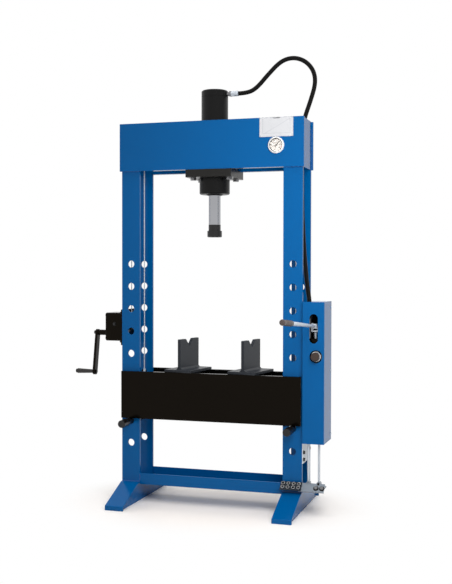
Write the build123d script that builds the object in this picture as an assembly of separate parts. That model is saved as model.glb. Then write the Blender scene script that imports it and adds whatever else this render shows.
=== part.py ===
from build123d import *
import math
import os

# Workshop press with a sliding cylinder, a winch-lifted table and a hand and foot pump.
# Millimetres. X runs to the right, -Y is the front, Z is up, and z = 0 is the floor.

# Clearances
running_clearance = 0.05
seat_clearance = 0.3
cut_overrun = 5.0

# Columns
column_depth = 168.0
post_width = 85.0
post_thickness = 12.0
post_top_drop = 27.0
pin_hole_diameter = 32.0
pin_hole_pitch = 100.0
pin_hole_count = 9
lowest_pin_hole = 264.0
pin_step = 1

# Feet
foot_length = 552.0
foot_rise = 70.0
foot_tip_height = 20.0
foot_plate = 8.0
foot_shoulder = 15.0
foot_gusset = 6.0
foot_gusset_recess = 10.0
foot_bend_radius = 5.0

# Base channel
channel_bottom = 79.0
channel_height = 49.0
channel_wall = 6.0
channel_inset = 1.0

# Head beam
head_bottom = 1476.0
head_height = 211.0
head_overhang = 6.5
head_plate = 12.0
head_ledge_width = 15.0
head_ledge_height = 14.0
head_end_thickness = 5.0

# Cylinder carriage
carriage_x = -5.0
barrel_radius = 59.0
barrel_bore = 49.0
cap_height = 33.0
cap_rise = 142.0
cap_edge = 4.0
cap_seam_drop = 29.0
cap_seam_depth = 1.5
cap_seam_width = 3.0
plug_radius = 9.0
plug_height = 8.0
gland_radius = 67.0
gland_length = 70.6
gland_edge = 4.0
gland_spigot = 28.0
clamp_length = 208.0
clamp_width = 200.0
clamp_thickness = 33.0
clamp_edge = 6.0
upper_clamp_length = 200.0
upper_clamp_thickness = 16.0
upper_clamp_gap = 5.0
clamp_bolt_radius = 8.0
clamp_bolt_x = 82.0
clamp_bolt_y = 53.0
clamp_head_radius = 13.5
clamp_head_height = 11.0
clamp_nut_height = 12.0
slide_clearance = 0.4

# Ram
ram_radius = 26.5
ram_reach = 134.0
piston_rest = 132.4
piston_height = 45.0
nose_neck_radius = 27.0
nose_radius = 32.5
nose_neck_length = 27.0
nose_length = 28.0
nose_edge = 3.0

# Hose fitting on the cylinder cap
port_height = 16.0
port_depth = 24.0
adapter_radius = 9.0
adapter_reach = 18.0
adapter_hex_radius = 13.0
adapter_hex_length = 9.0
hose_nut_radius = 12.5
hose_nut_length = 14.0
ferrule_radius = 11.0
ferrule_length = 18.0

# Table
table_length = 820.0
table_end_gap = 3.5
table_height = 209.6
table_plate = 18.0
table_guide_gap = 2.0
spacer_thickness = 12.0
spacer_guide_gap = 1.5
spacer_height = 160.0
spacer_drop = 26.0
lug_thickness = 12.0
lug_half_width = 7.0
lug_reach = 7.0

# V-blocks
v_upright_x = (-128.0, 163.0)
v_turn = 9.5
v_depth = 170.0
v_base_length = 132.0
v_base_depth = 200.0
v_base_thickness = 12.0
v_plate = 14.0
v_height = 145.0
v_notch_half_width = 33.0
v_weld_leg = 8.0
v_corner = 2.0

# Table pins
table_pin_radius = 14.0
table_pin_front = 195.0
table_pin_back = 112.0
table_pin_head_radius = 17.0
table_pin_head_length = 65.0
table_pin_round = 5.0

# Ropes and sheaves
rope_radius = 2.5
sheave_pitch_radius = 31.25
sheave_flange_radius = 35.5
right_sheave_inset = 52.0
sheave_width = 12.0
sheave_groove_width = 7.0
sheave_rise = 124.0
right_rope_y = 64.0
axle_radius = 8.0
axle_collar_radius = 12.0
axle_collar_length = 12.0
rope_lead_height = 60.0
rope_lead_radius = 500.0
rope_tail = 2.0

# Winch
winch_plate_thickness = 6.0
winch_plate_below = 50.0
winch_plate_above = 110.0
winch_depth = 97.5
winch_front = -40.0
winch_back = 72.0
winch_below = 35.0
winch_above = 93.0
winch_wall = 4.0
winch_corner = 8.0
crank_height = 750.0
drum_axis_y = 28.0
gear_module = 2.0
gear_teeth = 36
pinion_teeth = 18
gear_standoff = 36.5
gear_width = 14.0
pinion_margin = 2.0
gear_tooth_share = 0.40
gear_tip_share = 0.20
gear_addendum_share = 0.90
gear_dedendum_share = 1.25
drum_gap = 3.5
drum_flange = 3.0
drum_flange_radius = 34.0
drum_left_zone = 9.0
drum_right_zone = 9.0
drum_shaft_radius = 12.0
drum_shaft_reach = 60.5
bush_radius = 20.0
bush_length = 15.5
crank_shaft_radius = 10.0
crank_hub_radius = 12.5
crank_hub_gap = 1.0
crank_arm_standoff = 60.0
crank_arm_thickness = 12.0
crank_arm_width = 30.0
crank_arm_length = 180.0
crank_angle = 10.0
grip_pin_radius = 6.0
grip_pin_head_radius = 9.0
grip_pin_head = 4.0
grip_length = 80.0
grip_gap = 2.0
grip_small_radius = 8.0
grip_large_radius = 11.5
grip_round = 4.0

# Pump
pump_bracket_thickness = 4.0
pump_bracket_back = 45.0
pump_bracket_height = 665.0
pump_bracket_drop = 24.0
cover_width = 94.0
cover_front = -105.0
cover_back = 52.0
cover_height = 600.0
cover_high = 904.0
cover_sheet = 2.0
cover_bend = 3.0
lever_slot_width = 36.0
lever_slot_below = 66.0
lever_slot_above = 58.0
knob_hole_radius = 27.0
hose_hole_clearance = 3.0
block_width = 74.5
block_front = -86.0
block_back = 16.0
block_height = 188.0
block_drop = 156.0
block_edge = 4.0
tank_width = 76.5
tank_front = -60.0
tank_back = 40.0
tank_height = 240.0
tank_edge = 10.0
lever_inset = 48.5
lever_pivot_y = -4.0
lever_pivot_rise = 47.0
lever_tilt = 4.42
ear_thickness = 10.0
ear_gap = 10.0
ear_radius = 16.0
lever_pin_radius = 6.0
lever_pin_overhang = 4.0
lever_boss_width = 18.0
lever_boss_height = 20.0
lever_boss_back = 14.0
lever_boss_end = 85.0
lever_rod_radius = 6.0
lever_rod_end_radius = 9.0
lever_rod_end = 511.0
lever_end = 659.0
lever_grip_radius = 11.0
lever_grip_round = 5.0
plunger_reach = 58.0
plunger_pin_radius = 5.0
plunger_pin_half_length = 18.0
plunger_slot_clearance = 0.6
plunger_slot_travel = 3.5
plunger_radius = 6.0
plunger_depth = 58.0
plunger_bore_depth = 108.0
fork_inner = 10.0
fork_outer = 17.0
fork_depth = 28.0
fork_bridge_drop = 18.5
fork_bridge_height = 6.0
fork_rise = 17.0
knob_inset = 58.5
knob_drop = 74.0
knob_radius = 18.0
knob_standoff = 25.0
knob_length = 24.0
knob_round = 4.0
knob_stem_radius = 5.0
knob_stem_depth = 15.0
outlet_inset = 20.5
outlet_y = -55.0
outlet_pipe_radius = 8.0
outlet_pipe_length = 82.0
outlet_nut_radius = 12.5
outlet_nut_height = 16.0
outlet_ferrule_radius = 10.5
outlet_ferrule_length = 22.0

# Pedal
pull_rod_inset = 22.5
hanger_inset = 68.0
pedal_rod_y = -75.0
pedal_pivot_z = 133.0
pull_rod_radius = 5.5
pull_rod_depth = 40.0
pull_rod_bore_depth = 60.0
hanger_radius = 5.0
eye_radius = 8.0
eye_thickness = 8.0
pedal_pin_radius = 5.0
pull_pin_radius = 4.0
pull_eye_clearance = 1.6
pedal_plate = 6.0
pedal_pivot_rise = 11.0
pedal_end_reach = 96.5
pedal_back = -58.0
pedal_front = -120.0
pedal_low = 106.0
pedal_width = 42.0
pedal_slope = 45.0
pedal_overlap = 12.0
pedal_seat_front = -101.0
pedal_seat_margin = 12.0
pedal_lug_thickness = 5.0
pedal_lug_gap = 2.0
pedal_lug_radius = 9.0
pedal_pin_overhang = 3.0
tread_length = 93.0
tread_gap = 0.5
tread_plate = 3.0
tread_columns = 4
tread_rows = 2
tread_pitch_x = 23.0
tread_pitch_y = 19.0
tread_hole_radius = 5.5
tread_rim_radius = 9.0
tread_rim_height = 5.0
tread_crown_radius = 7.0

# Gauge and chart plate
gauge_inset = 120.0
gauge_rise = 92.0
gauge_radius = 31.0
gauge_wall = 2.0
gauge_depth = 30.0
gauge_back_radius = 26.0
gauge_bezel_radius = 35.0
gauge_bezel_height = 10.0
gauge_bezel_edge = 3.0
dial_thickness = 1.0
dial_setback = 9.0
movement_radius = 15.0
glass_thickness = 2.0
glass_setback = 2.0
needle_setback = 5.5
needle_thickness = 0.8
needle_length = 23.0
needle_tail = 8.0
needle_width = 3.0
needle_tip_width = 1.0
needle_hub_radius = 3.0
needle_spindle_radius = 1.0
needle_spindle_length = 9.0
needle_angle = 42.0
chart_inset = 46.0
chart_width = 148.0
chart_height = 83.0
chart_thickness = 1.0

# Hose
hose_diameter = 19.0
hose_run_share = 0.45
hose_route = [
    (104, 0, 1813),
    (146, 0, 1813),
    (187, 0, 1832),
    (238, 0, 1888),
    (295, 0, 1943),
    (350, 0, 1956),
    (403, 0, 1938),
    (440, 0, 1895),
    (449, 0, 1840),
    (427, 6, 1770),
    (394, 14, 1686),
    (387, 18, 1590),
    (386, 16, 1450),
    (389, 9, 1310),
    (397, 0, 1180),
    (410, -18, 1062),
    (424, -38, 964),
    (438, -55, 906),
    (438, -55, 868),
]

# Derived places
column_pitch = table_length + 2 * table_end_gap - post_width
column_x = column_pitch / 2
post_face = column_depth / 2
post_back = post_face - post_thickness
post_inner_x = column_x - post_width / 2
post_outer_x = column_x + post_width / 2
foot_top = foot_tip_height + foot_rise
head_top = head_bottom + head_height
head_length = 2 * (post_outer_x + head_overhang)
post_top = head_top - post_top_drop
head_face = post_face + head_plate
ledge_top = head_bottom + head_ledge_height
barrel_bottom = head_bottom - slide_clearance - clamp_thickness
cap_top = head_top + cap_rise
cap_bottom = cap_top - cap_height
port_z = cap_top - port_height
adapter_end = carriage_x + barrel_radius + adapter_reach
gland_bottom = barrel_bottom - gland_length
ram_end = gland_bottom - ram_reach
nose_step = ram_end - nose_neck_length
nose_bottom = nose_step - nose_length
piston_bottom = barrel_bottom + piston_rest
pin_hole_radius = pin_hole_diameter / 2
pin_hole_z = lowest_pin_hole + pin_step * pin_hole_pitch
table_pin_z = pin_hole_z - pin_hole_radius + table_pin_radius + 2 * running_clearance
table_bottom = table_pin_z + table_pin_radius + seat_clearance
table_top = table_bottom + table_height
table_inner = post_face + table_guide_gap
table_face = table_inner + table_plate
spacer_x = post_inner_x - spacer_guide_gap
sheave_height = head_bottom + sheave_rise
drum_x = drum_gap - post_outer_x
left_rope_drum_x = drum_x + drum_flange + drum_left_zone / 2
right_rope_drum_x = left_rope_drum_x + (drum_left_zone + drum_right_zone) / 2 + drum_flange
left_sheave_x = left_rope_drum_x + sheave_pitch_radius
right_sheave_x = column_x - right_sheave_inset
left_rope_x = left_sheave_x + sheave_pitch_radius
right_rope_x = right_sheave_x + sheave_pitch_radius
lug_top = table_top - spacer_drop
gear_radius = gear_module * gear_teeth / 2
pinion_radius = gear_module * pinion_teeth / 2
gear_distance = gear_radius + pinion_radius
drum_axis_z = crank_height + math.sqrt(gear_distance**2 - drum_axis_y**2)
rope_pitch_radius = drum_axis_y
mesh_angle = math.degrees(math.atan2(crank_height - drum_axis_z, -drum_axis_y))
winch_plate_x = -post_outer_x - winch_plate_thickness
winch_plate_low = crank_height - winch_plate_below
winch_plate_high = crank_height + winch_plate_above
winch_low = crank_height - winch_below
winch_high = crank_height + winch_above
winch_end_x = winch_plate_x - winch_depth
gear_x = winch_plate_x - gear_standoff
drum_shaft_end = winch_plate_x - drum_shaft_reach
crank_arm_x = winch_end_x - crank_arm_standoff
grip_y = -crank_arm_length * math.sin(math.radians(crank_angle))
grip_z = crank_height - crank_arm_length * math.cos(math.radians(crank_angle))
grip_start = crank_arm_x - grip_gap
grip_end = grip_start - grip_length
pump_x = post_outer_x + pump_bracket_thickness
pump_inner_x = pump_x + cover_sheet
cover_end_x = pump_x + cover_width
cover_low = cover_high - cover_height
pump_bracket_high = cover_high - pump_bracket_drop
pump_bracket_low = pump_bracket_high - pump_bracket_height
block_high = cover_high - block_drop
block_low = block_high - block_height
block_end_x = pump_inner_x + block_width
tank_low = block_low - tank_height
tank_end_x = pump_inner_x + tank_width
lever_x = pump_x + lever_inset
lever_pivot_z = block_high + lever_pivot_rise
lever_slot_low = lever_pivot_z - lever_slot_below
lever_slot_high = lever_pivot_z + lever_slot_above
plunger_y = lever_pivot_y - plunger_reach * math.cos(math.radians(lever_tilt))
plunger_pin_z = lever_pivot_z + plunger_reach * math.sin(math.radians(lever_tilt))
plunger_low = block_high - plunger_depth
plunger_bore_low = block_high - plunger_bore_depth
fork_bridge_low = lever_pivot_z - fork_bridge_drop
fork_bridge_high = fork_bridge_low + fork_bridge_height
fork_high = lever_pivot_z + fork_rise
knob_x = pump_x + knob_inset
knob_z = block_high - knob_drop
knob_front = cover_front - knob_standoff
outlet_x = pump_x + outlet_inset
outlet_nut_low = block_high + outlet_pipe_length
outlet_top = outlet_nut_low + outlet_nut_height + outlet_ferrule_length
pull_rod_x = pump_x + pull_rod_inset
pull_rod_top = block_low + pull_rod_depth
pull_rod_bore_top = block_low + pull_rod_bore_depth
hanger_x = pump_x + hanger_inset
pedal_plate_top = pedal_pivot_z - pedal_pivot_rise
pedal_end_x = pump_x + pedal_end_reach
tread_x = (pump_x - tread_gap - tread_length, pump_x - tread_gap)
hose_radius = hose_diameter / 2
gauge_x = head_length / 2 - gauge_inset
gauge_z = head_bottom + gauge_rise
chart_end_x = head_length / 2 - chart_inset
chart_x = (chart_end_x - chart_width, chart_end_x)
chart_low = head_top - chart_height


def around(middle, width):
    return (middle - width / 2, middle + width / 2)


def span_box(x_span, y_span, z_span):
    """A box between the two ends of each span."""
    spans = (x_span, y_span, z_span)
    middle = [(low + high) / 2 for low, high in spans]
    size = [abs(high - low) for low, high in spans]
    return Pos(*middle) * Box(*size)


def rod_x(radius, x_span, y, z):
    low, high = x_span
    return Pos((low + high) / 2, y, z) * Rot(0, 90, 0) * Cylinder(radius, abs(high - low))


def rod_y(radius, y_span, x, z):
    low, high = y_span
    return Pos(x, (low + high) / 2, z) * Rot(90, 0, 0) * Cylinder(radius, abs(high - low))


def rod_z(radius, z_span, x, y):
    low, high = z_span
    return Pos(x, y, (low + high) / 2) * Cylinder(radius, abs(high - low))


def hex_x(radius, x_span, y, z):
    """A hexagon bar along X, with its corners at the radius."""
    low, high = x_span
    bar = extrude(Plane.YZ * RegularPolygon(radius, 6), high - low)
    return Pos(low, y, z) * bar


def hex_z(radius, z_span, x, y):
    low, high = z_span
    return Pos(x, y, low) * extrude(RegularPolygon(radius, 6), high - low)


def tube_along(path, radius):
    """A round bar swept along a path of runs and arcs."""
    section = Plane(origin=path @ 0, z_dir=path % 0) * Circle(radius)
    return sweep(section, path=path)


def slab_yz(points, x_span):
    """A plate in the YZ plane, from an outline of (y, z) points."""
    outline = Plane.YZ * Polygon(*points, align=None)
    return Pos(x_span[0], 0, 0) * extrude(outline, x_span[1] - x_span[0], dir=(1, 0, 0))


def edges_along(solid, axis):
    return solid.edges().filter_by(axis)


def post(side, end):
    """A flat bar with a row of pin holes; side is -1 or 1 in X, end is -1 or 1 in Y."""
    middle_x = side * column_x
    y_span = sorted((end * post_back, end * post_face))
    bar = span_box(around(middle_x, post_width), y_span, (foot_top, post_top))
    for step in range(pin_hole_count):
        height = lowest_pin_hole + step * pin_hole_pitch
        bar -= rod_y(pin_hole_radius, (y_span[0] - cut_overrun, y_span[1] + cut_overrun), middle_x, height)
    return bar


def foot_outline(inset):
    """Half-open side outline of a foot, moved in by a plate's thickness."""
    tip_y = foot_length / 2 - inset
    shoulder_y = post_face + foot_shoulder
    slope = (foot_top - foot_tip_height) / (foot_length / 2 - shoulder_y)
    drop = inset * math.hypot(1, slope)
    top = foot_top - inset
    inner_shoulder = shoulder_y + (inset - drop) / slope if inset else shoulder_y
    tip_z = top - (tip_y - inner_shoulder) * slope
    right = [(inner_shoulder, top), (tip_y, tip_z), (tip_y, 0)]
    return right + [(-y, z) for y, z in reversed(right)]


def foot(side):
    """A bent plate with sloped toes, on two set-back side plates with a sole between them."""
    middle_x = side * column_x
    width = around(middle_x, post_width)
    body = slab_yz(foot_outline(0), width)
    body = fillet(edges_along(body, Axis.X).filter_by(lambda edge: edge.center().Z > 0), foot_bend_radius)
    hollow = slab_yz(foot_outline(foot_plate), (width[0] - cut_overrun, width[1] + cut_overrun))
    body -= hollow
    gusset_middle = post_width / 2 - foot_gusset_recess - foot_gusset / 2
    for hand in (-1, 1):
        body += slab_yz(foot_outline(foot_plate), around(middle_x + hand * gusset_middle, foot_gusset))
    sole = around(middle_x, post_width - 2 * foot_gusset_recess)
    return body + span_box(sole, (-post_face, post_face), (0, foot_plate))


def base_channel():
    """A channel that lies open side up between the columns."""
    x_span = (-post_inner_x, post_inner_x)
    half = post_face - channel_inset
    top = channel_bottom + channel_height
    body = span_box(x_span, (-half, half), (channel_bottom, top))
    inner = half - channel_wall
    inside_x = (-post_inner_x - cut_overrun, post_inner_x + cut_overrun)
    return body - span_box(inside_x, (-inner, inner), (channel_bottom + channel_wall, top + cut_overrun))


def head_plate_piece(end):
    """A beam plate with an inner ledge that the cylinder carriage runs on."""
    half = head_length / 2
    plate = span_box((-half, half), sorted((end * post_face, end * head_face)), (head_bottom, head_top))
    ledge_half = post_inner_x - seat_clearance
    ledge_y = sorted((end * (post_face - head_ledge_width), end * post_face))
    plate += span_box((-ledge_half, ledge_half), ledge_y, (head_bottom, ledge_top))
    if end < 0:
        hole_y = (-head_face - cut_overrun, -post_face + cut_overrun)
        plate -= rod_y(gauge_radius + seat_clearance, hole_y, gauge_x, gauge_z)
    return plate


def head_end_plates():
    plates = []
    for side in (-1, 1):
        x_span = sorted((side * (post_outer_x - head_end_thickness), side * post_outer_x))
        plates.append(span_box(x_span, (-post_back, post_back), (head_bottom, head_top)))
    return plates


def barrel():
    x_y = (carriage_x, 0)
    tube = rod_z(barrel_radius, (barrel_bottom, cap_bottom), *x_y)
    return tube - rod_z(barrel_bore, (barrel_bottom - cut_overrun, cap_bottom + cut_overrun), *x_y)


def cylinder_cap():
    """A turned cap with a seam groove, a filler plug on top and an oil port on its right side."""
    x_y = (carriage_x, 0)
    cap = rod_z(barrel_radius, (cap_bottom, cap_top), *x_y)
    cap = chamfer(cap.edges().group_by(Axis.Z)[-1], cap_edge)
    seam_z = cap_top - cap_seam_drop
    ring = rod_z(barrel_radius + cut_overrun, around(seam_z, cap_seam_width), *x_y)
    ring -= rod_z(barrel_radius - cap_seam_depth, around(seam_z, cap_seam_width + cut_overrun), *x_y)
    cap -= ring
    port_x = carriage_x + barrel_radius
    bore_radius = adapter_radius + running_clearance
    cap -= rod_x(bore_radius, (port_x - port_depth, port_x + cut_overrun), 0, port_z)
    return cap + hex_z(plug_radius, (cap_top, cap_top + plug_height), *x_y)


def cylinder_gland():
    x_y = (carriage_x, 0)
    collar = rod_z(gland_radius, (gland_bottom, barrel_bottom), *x_y)
    collar = chamfer(collar.edges().group_by(Axis.Z)[0], gland_edge)
    collar += rod_z(barrel_bore - running_clearance, (barrel_bottom, barrel_bottom + gland_spigot), *x_y)
    bore = (gland_bottom - cut_overrun, barrel_bottom + gland_spigot + cut_overrun)
    return collar - rod_z(ram_radius + running_clearance, bore, *x_y)


def clamp_plate(length, width, z_span):
    """A plate round the barrel with four bolt holes."""
    low, high = z_span[0] - cut_overrun, z_span[1] + cut_overrun
    plate = span_box(around(carriage_x, length), around(0, width), z_span)
    plate = fillet(edges_along(plate, Axis.Z), clamp_edge)
    plate -= rod_z(barrel_radius + running_clearance, (low, high), carriage_x, 0)
    for x, y in clamp_bolt_places():
        plate -= rod_z(clamp_bolt_radius + running_clearance, (low, high), x, y)
    return plate


def clamp_bolt_places():
    return [
        (carriage_x + hand * clamp_bolt_x, end * clamp_bolt_y) for hand in (-1, 1) for end in (-1, 1)
    ]


def clamp_bolts(upper_top):
    bolts = []
    nut_top = upper_top + clamp_nut_height
    for x, y in clamp_bolt_places():
        bolt = rod_z(clamp_bolt_radius, (barrel_bottom, nut_top), x, y)
        bolt += hex_z(clamp_head_radius, (barrel_bottom - clamp_head_height, barrel_bottom), x, y)
        bolts.append(bolt + hex_z(clamp_head_radius, (upper_top, nut_top), x, y))
    return bolts


def hose_adapter():
    start = carriage_x + barrel_radius - port_depth + cut_overrun
    body = rod_x(adapter_radius, (start, adapter_end), 0, port_z)
    return body + hex_x(adapter_hex_radius, (adapter_end - adapter_hex_length, adapter_end), 0, port_z)


def hose_ferrule():
    nut_end = adapter_end + hose_nut_length
    body = hex_x(hose_nut_radius, (adapter_end, nut_end), 0, port_z)
    return body + rod_x(ferrule_radius, (nut_end, nut_end + ferrule_length), 0, port_z)


def ram_nose():
    nose = rod_z(nose_neck_radius, (nose_step, ram_end), carriage_x, 0)
    collar = rod_z(nose_radius, (nose_bottom, nose_step), carriage_x, 0)
    return nose + chamfer(collar.edges().group_by(Axis.Z)[0], nose_edge)


def table_plate_piece(end):
    y_span = sorted((end * table_inner, end * table_face))
    return span_box(around(0, table_length), y_span, (table_bottom, table_top))


def table_spacer(side, rope_x, rope_y):
    """A cross plate between the table plates, with a lug that reaches to the rope."""
    x_span = sorted((side * (spacer_x - spacer_thickness), side * spacer_x))
    plate = span_box(x_span, (-table_inner, table_inner), (lug_top - spacer_height, lug_top))
    lug_x = sorted((side * spacer_x, rope_x + side * lug_reach))
    return plate + span_box(lug_x, around(rope_y, 2 * lug_half_width), (lug_top - lug_thickness, lug_top))


def v_block(middle_x):
    """A base plate, turned a little on the table, with a welded upright notched at a right angle."""
    half = v_depth / 2
    base = span_box(
        around(0, v_base_length), around(0, v_base_depth), (table_top, table_top + v_base_thickness)
    )
    base_top = table_top + v_base_thickness
    top = table_top + v_height
    right = [
        (half, base_top),
        (half, top - v_corner),
        (half - v_corner, top),
        (v_notch_half_width, top),
        (0, top - v_notch_half_width),
    ]
    outline = right + [(-y, z) for y, z in reversed(right[:-1])]
    block = base + slab_yz(outline, around(0, v_plate))
    for hand in (-1, 1):
        root_x = hand * v_plate / 2
        corner = [(root_x, base_top), (root_x + hand * v_weld_leg, base_top), (root_x, base_top + v_weld_leg)]
        block += extrude(Plane.XZ * Polygon(*corner, align=None), half, both=True)
    return Pos(middle_x, 0, 0) * Rot(0, 0, -v_turn) * block


def table_pin(side):
    """A plain pin with a thicker, rounded grip in front of the table."""
    x_z = (side * column_x, table_pin_z)
    head_end = table_pin_head_length - table_pin_front
    head = rod_y(table_pin_head_radius, (-table_pin_front, head_end), *x_z)
    head = fillet(head.edges().filter_by(GeomType.CIRCLE), table_pin_round)
    pin = rod_y(table_pin_radius, (head_end - table_pin_round, table_pin_back), *x_z)
    return head + fillet(pin.edges().filter_by(GeomType.CIRCLE).sort_by(Axis.Y)[-1], table_pin_round)


def sheave(x, y):
    """A grooved rope wheel on an axle along Y."""
    half = sheave_width / 2
    groove = sheave_groove_width / 2
    root = sheave_pitch_radius - rope_radius - seat_clearance
    bore = axle_radius + running_clearance
    flare = sheave_flange_radius - root
    profile = Polygon(
        (bore, -half),
        (sheave_flange_radius, -half),
        (sheave_flange_radius, -groove - flare * (half - groove) / (2 * flare)),
        (root, -groove),
        (root, groove),
        (sheave_flange_radius, groove + flare * (half - groove) / (2 * flare)),
        (sheave_flange_radius, half),
        (bore, half),
        align=None,
    )
    return Pos(x, y, sheave_height) * revolve(profile, Axis.Y)


def sheave_axle(x, sheave_places):
    """A cross axle in the head with collars beside each sheave."""
    half = post_back if abs(x) > post_inner_x else post_face
    axle = rod_y(axle_radius, (-half, half), x, sheave_height)
    offset = sheave_width / 2 + seat_clearance + axle_collar_length / 2
    for place in sheave_places:
        for end in (-1, 1):
            collar_y = around(place + end * offset, axle_collar_length)
            if collar_y[1] <= post_back:
                axle += rod_y(axle_collar_radius, collar_y, x, sheave_height)
    return axle


def left_rope_run():
    """Up from the drum, over the first sheave and just down its far side."""
    up_x = left_sheave_x - sheave_pitch_radius
    foot_point = (up_x, 0, drum_axis_z)
    rise = (up_x, 0, sheave_height)
    crown = (left_sheave_x, 0, sheave_height + sheave_pitch_radius)
    fall = (left_rope_x, 0, sheave_height)
    end = (left_rope_x, 0, sheave_height - rope_tail)
    path = Wire([Edge.make_line(foot_point, rise), Edge.make_three_point_arc(rise, crown, fall),
                 Edge.make_line(fall, end)])
    return tube_along(path, rope_radius)


def right_rope_run():
    """Up from the drum, over the second sheave, across the head and over the right sheave."""
    up_x = left_sheave_x - sheave_pitch_radius
    over_z = sheave_height + sheave_pitch_radius
    points = [
        (right_rope_drum_x, 0, drum_axis_z),
        (up_x, right_rope_y, sheave_height - rope_lead_height),
        (up_x, right_rope_y, over_z),
        (right_rope_x, right_rope_y, over_z),
        (right_rope_x, right_rope_y, sheave_height - rope_tail),
    ]
    radii = [rope_lead_radius, sheave_pitch_radius, sheave_pitch_radius]
    return tube_along(FilletPolyline(*points, radius=radii).wire(), rope_radius)


def rope_drops():
    z_span = (lug_top, sheave_height - rope_tail)
    return [
        rod_z(rope_radius, z_span, left_rope_x, 0),
        rod_z(rope_radius, z_span, right_rope_x, right_rope_y),
    ]


def gear_wheel(teeth, first_angle, x_span, y, z):
    """A spur gear with straight-flanked teeth; one tooth points along the first angle."""
    pitch_radius = gear_module * teeth / 2
    root = pitch_radius - gear_dedendum_share * gear_module
    tip = pitch_radius + gear_addendum_share * gear_module
    tooth_step = 2 * math.pi / teeth
    root_half = tooth_step * (gear_tooth_share + (gear_tooth_share - gear_tip_share)) / 2
    tip_half = tooth_step * gear_tip_share / 2
    points = []
    for index in range(teeth):
        middle = math.radians(first_angle) + index * tooth_step
        for radius, offset in ((root, -root_half), (tip, -tip_half), (tip, tip_half), (root, root_half)):
            angle = middle + offset
            points.append((y + radius * math.cos(angle), z + radius * math.sin(angle)))
    return slab_yz(points, x_span)


def winch_plate():
    """The plate on the left column's outer side, with the drum's long bush."""
    x_span = (winch_plate_x, -post_outer_x)
    plate = span_box(x_span, (-post_face, post_face), (winch_plate_low, winch_plate_high))
    bush_x = (winch_plate_x - bush_length, -post_outer_x)
    plate += rod_x(bush_radius, bush_x, drum_axis_y, drum_axis_z)
    through = (bush_x[0] - cut_overrun, bush_x[1] + cut_overrun)
    plate -= rod_x(drum_shaft_radius + running_clearance, through, drum_axis_y, drum_axis_z)
    return plate - rod_x(crank_shaft_radius + running_clearance, through, 0, crank_height)


def winch_housing():
    """A cast box over the winch gears, open towards the plate."""
    outer = span_box((winch_end_x, winch_plate_x), (winch_front, winch_back), (winch_low, winch_high))
    rim = outer.edges().filter_by(lambda edge: edge.center().X < winch_plate_x - winch_wall)
    outer = fillet(rim, winch_corner)
    inner = span_box(
        (winch_end_x + winch_wall, winch_plate_x + cut_overrun),
        (winch_front + winch_wall, winch_back - winch_wall),
        (winch_low + winch_wall, winch_high - winch_wall),
    )
    shaft_hole = (winch_end_x - cut_overrun, winch_end_x + winch_wall + cut_overrun)
    return outer - inner - rod_x(crank_shaft_radius + running_clearance, shaft_hole, 0, crank_height)


def rope_drum():
    """A two-part drum on its shaft, with the large gear at the shaft's other end."""
    core = rope_pitch_radius - rope_radius - seat_clearance
    zones = (drum_left_zone, drum_right_zone)
    length = sum(zones) + 3 * drum_flange
    drum = rod_x(core, (drum_x, drum_x + length), drum_axis_y, drum_axis_z)
    start = drum_x
    for zone in (*zones, 0):
        drum += rod_x(drum_flange_radius, (start, start + drum_flange), drum_axis_y, drum_axis_z)
        start += drum_flange + zone
    drum += rod_x(drum_shaft_radius, (drum_shaft_end, drum_x), drum_axis_y, drum_axis_z)
    half_step = 180 / gear_teeth
    gear_span = (gear_x, gear_x + gear_width)
    return drum + gear_wheel(gear_teeth, mesh_angle + half_step, gear_span, drum_axis_y, drum_axis_z)


def crank_shaft():
    """The pinion shaft, with a hub outside the housing."""
    inner_end = -post_outer_x - running_clearance
    shaft = rod_x(crank_shaft_radius, (crank_arm_x, inner_end), 0, crank_height)
    hub = (crank_arm_x + crank_arm_thickness, winch_end_x - crank_hub_gap)
    shaft += rod_x(crank_hub_radius, hub, 0, crank_height)
    pinion_span = (gear_x - pinion_margin, gear_x + gear_width + pinion_margin)
    return shaft + gear_wheel(pinion_teeth, mesh_angle + 180, pinion_span, 0, crank_height)


def crank_arm():
    """A flat bar with round ends, and the pin that the grip turns on."""
    outline = SlotCenterToCenter(crank_arm_length, crank_arm_width)
    bar = extrude(Plane.YZ * Rot(0, 0, 90 - crank_angle) * outline, crank_arm_thickness)
    arm = Pos(crank_arm_x, grip_y / 2, (crank_height + grip_z) / 2) * bar
    hole = (crank_arm_x - cut_overrun, crank_arm_x + crank_arm_thickness + cut_overrun)
    arm -= rod_x(crank_shaft_radius + running_clearance, hole, 0, crank_height)
    pin_end = grip_end - seat_clearance
    arm += rod_x(grip_pin_radius, (pin_end, crank_arm_x), grip_y, grip_z)
    arm += rod_x(grip_pin_head_radius, (pin_end - grip_pin_head, pin_end), grip_y, grip_z)
    inner = crank_arm_x + crank_arm_thickness
    return arm + hex_x(grip_pin_head_radius, (inner, inner + grip_pin_head), grip_y, grip_z)


def crank_grip():
    """A tapered grip, thicker towards its free end."""
    bore = grip_pin_radius + running_clearance
    profile = Polygon(
        (bore, 0), (grip_small_radius, 0), (grip_large_radius, grip_length), (bore, grip_length), align=None
    )
    grip = revolve(profile, Axis.Y)
    outer_rim = grip.edges().filter_by(GeomType.CIRCLE).sort_by(SortBy.RADIUS)[-1]
    grip = fillet(outer_rim, grip_round)
    return Pos(grip_start, grip_y, grip_z) * Rot(0, 0, 90) * grip


def pump_bracket():
    y_span = (-post_face, pump_bracket_back)
    return span_box((post_outer_x, pump_x), y_span, (pump_bracket_low, pump_bracket_high))


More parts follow.
